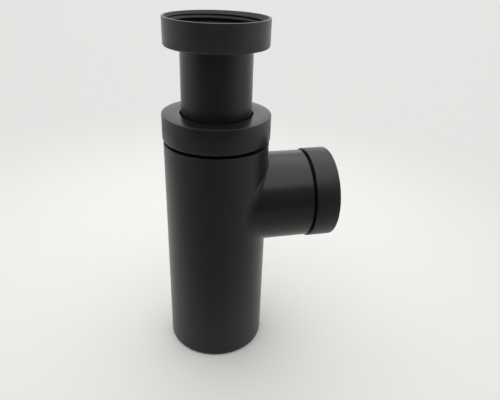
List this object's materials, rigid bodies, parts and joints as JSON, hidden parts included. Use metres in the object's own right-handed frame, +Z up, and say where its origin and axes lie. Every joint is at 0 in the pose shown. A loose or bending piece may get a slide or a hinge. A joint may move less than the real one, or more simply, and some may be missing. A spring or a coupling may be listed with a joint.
{
  "type": "basin trap",
  "caption": "Matte black bottle trap for a washbasin: sliding inlet tube with a swivelling union nut, screwed collar, hollow bottle and a side outlet with a compression nut.",
  "frame": {"origin": "centre of the bottle's flat base, on the bottle's axis", "axes": "+Z up along the bottle and the inlet tube, +X out of the side outlet"},
  "size_m": [0.0814, 0.0498, 0.1657],
  "materials": {
    "black_coating": "matte",
    "black_rubber": "matte",
    "white_plastic": "satin",
    "spring_steel": "satin"
  },
  "bodies": {
    "bottle": {"bottle_body": "black_coating", "outlet_seal": "black_rubber"},
    "tube_seal": {"collar_seal": "black_rubber"},
    "tube": {"inlet_tube": "black_coating", "coupling_gasket": "black_rubber", "retaining_ring": "spring_steel"},
    "coupling": {"coupling_nut": "black_coating"},
    "collar_ring": {"collar_slip_ring": "white_plastic"},
    "collar": {"collar_nut": "black_coating"},
    "outlet_ring": {"outlet_slip_ring": "white_plastic"},
    "outlet": {"outlet_nut": "black_coating"}
  },
  "joints": [
    {"name": "tube_swivel", "type": "hinge", "parent": "bottle", "child": "tube_seal", "pos_m": [0, 0, 0.1186], "axis": [0, 0, 1], "continuous": true},
    {"name": "tube_height", "type": "slide", "parent": "tube_seal", "child": "tube", "axis": [0, 0, 1], "range_m": [-0.012, 0.025]},
    {"name": "coupling_turn", "type": "hinge", "parent": "tube", "child": "coupling", "pos_m": [0, 0, 0.16], "axis": [0, 0, 1], "continuous": true},
    {"name": "collar_lift", "type": "slide", "parent": "bottle", "child": "collar_ring", "axis": [0, 0, 1], "range_m": [0, 0.0045]},
    {"name": "collar_turn", "type": "hinge", "parent": "collar_ring", "child": "collar", "pos_m": [0, 0, 0.11875], "axis": [0, 0, 1], "range_deg": [0, 1080]},
    {"name": "outlet_travel", "type": "slide", "parent": "bottle", "child": "outlet_ring", "axis": [1, 0, 0], "range_m": [0, 0.00462]},
    {"name": "outlet_turn", "type": "hinge", "parent": "outlet_ring", "child": "outlet", "pos_m": [0.05065, 0, 0.0805], "axis": [1, 0, 0], "range_deg": [0, 720]}
  ],
  "couplings": [
    {"joint": "collar_lift", "follows": "collar_turn", "m_per_rad": 0.00023873},
    {"joint": "outlet_travel", "follows": "outlet_turn", "m_per_rad": 0.00036749}
  ]
}
